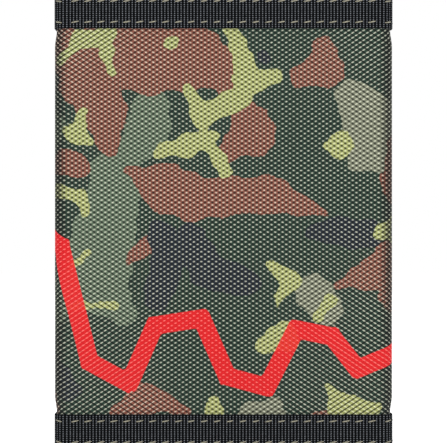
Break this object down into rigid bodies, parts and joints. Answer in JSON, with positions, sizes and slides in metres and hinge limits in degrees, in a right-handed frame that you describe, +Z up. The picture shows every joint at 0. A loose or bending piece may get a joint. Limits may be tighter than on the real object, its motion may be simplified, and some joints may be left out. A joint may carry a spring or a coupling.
{
  "type": "trifold wallet",
  "caption": "Trifold wallet in camouflage cloth with bound edges: folding panels with a bill compartment, card pockets, identity window, hook-and-loop closure and zipped coin pocket.",
  "frame": {"origin": "centre of the closed wallet's footprint, on the surface that it stands on", "axes": "+Z up the wallet's height, +X to the right of the centre panel's outside face, which faces -Y; both flaps are folded behind it on the +Y side"},
  "size_m": [0.094, 0.0176, 0.1255],
  "materials": {
    "printed_cloth": "plain-woven nylon with a camouflage print, slight sheen on each thread",
    "lining_cloth": "thin coated nylon, matt",
    "pocket_cloth": "plain-woven nylon, matt",
    "binding_tape": "ribbed woven tape with pale stitching",
    "clear_vinyl": "clear flexible sheet",
    "hook_tape": "hooked pile",
    "loop_tape": "brushed loop pile",
    "zip_tape": "fine woven tape",
    "zip_coil": "spiral teeth",
    "zip_metal": "satin nickel"
  },
  "bodies": {
    "centre_panel": {"centre_shell": "printed_cloth", "centre_lining": "lining_cloth", "centre_bottom_binding": "binding_tape", "centre_top_binding": "binding_tape", "centre_lining_binding": "binding_tape", "card_pocket_upper": "pocket_cloth", "card_pocket_middle": "pocket_cloth", "card_pocket_lower": "pocket_cloth"},
    "wide_spine": {"wide_spine_shell": "printed_cloth", "wide_spine_lining": "lining_cloth", "wide_spine_bottom_binding": "binding_tape", "wide_spine_top_binding": "binding_tape", "wide_spine_lining_binding": "binding_tape"},
    "outer_flap": {"outer_flap_shell": "printed_cloth", "outer_flap_lining": "lining_cloth", "outer_flap_bottom_binding": "binding_tape", "outer_flap_top_binding": "binding_tape", "outer_flap_lining_binding": "binding_tape", "outer_flap_side_binding": "binding_tape", "id_window": "clear_vinyl", "id_window_trim": "binding_tape", "hook_strip": "hook_tape", "coin_pocket": "pocket_cloth", "zip_tape_upper": "zip_tape", "zip_tape_lower": "zip_tape", "zip_coil_upper": "zip_coil", "zip_coil_lower": "zip_coil", "zip_stop_left": "zip_metal", "zip_stop_right": "zip_metal"},
    "zip_slider": {"zip_slider": "zip_metal", "zip_bridge": "zip_metal"},
    "zip_pull": {"zip_pull": "zip_metal"},
    "narrow_spine": {"narrow_spine_shell": "printed_cloth", "narrow_spine_lining": "lining_cloth", "narrow_spine_bottom_binding": "binding_tape", "narrow_spine_top_binding": "binding_tape", "narrow_spine_lining_binding": "binding_tape"},
    "tucked_flap": {"tucked_flap_shell": "printed_cloth", "tucked_flap_lining": "lining_cloth", "tucked_flap_bottom_binding": "binding_tape", "tucked_flap_top_binding": "binding_tape", "tucked_flap_lining_binding": "binding_tape", "tucked_flap_side_binding": "binding_tape", "slip_pocket_upper": "pocket_cloth", "slip_pocket_lower": "pocket_cloth", "loop_strip": "loop_tape"}
  },
  "joints": [
    {"name": "wide_spine_fold", "type": "hinge", "parent": "centre_panel", "child": "wide_spine", "pos_m": [-0.04555, -0.0073, 0.06275], "axis": [0, 0, 1], "range_deg": [0, 90]},
    {"name": "outer_flap_fold", "type": "hinge", "parent": "wide_spine", "child": "outer_flap", "pos_m": [-0.04555, 0.0043, 0.06275], "axis": [0, 0, 1], "range_deg": [0, 90]},
    {"name": "narrow_spine_fold", "type": "hinge", "parent": "centre_panel", "child": "narrow_spine", "pos_m": [0.04555, -0.0073, 0.06275], "axis": [0, 0, -1], "range_deg": [0, 90]},
    {"name": "tucked_flap_fold", "type": "hinge", "parent": "narrow_spine", "child": "tucked_flap", "pos_m": [0.04555, -0.0002, 0.06275], "axis": [0, 0, -1], "range_deg": [0, 90]},
    {"name": "zip_slider_travel", "type": "slide", "parent": "outer_flap", "child": "zip_slider", "axis": [-1, 0, 0], "range_m": [0, 0.055]},
    {"name": "zip_pull_turn", "type": "hinge", "parent": "zip_slider", "child": "zip_pull", "pos_m": [0.0255, 0.00785, 0.084], "axis": [0, 0, -1], "range_deg": [0, 180]}
  ],
  "couplings": [
    {"joint": "outer_flap_fold", "follows": "wide_spine_fold", "ratio": 1},
    {"joint": "narrow_spine_fold", "follows": "wide_spine_fold", "ratio": 0.12},
    {"joint": "tucked_flap_fold", "follows": "wide_spine_fold", "ratio": 0.12}
  ]
}
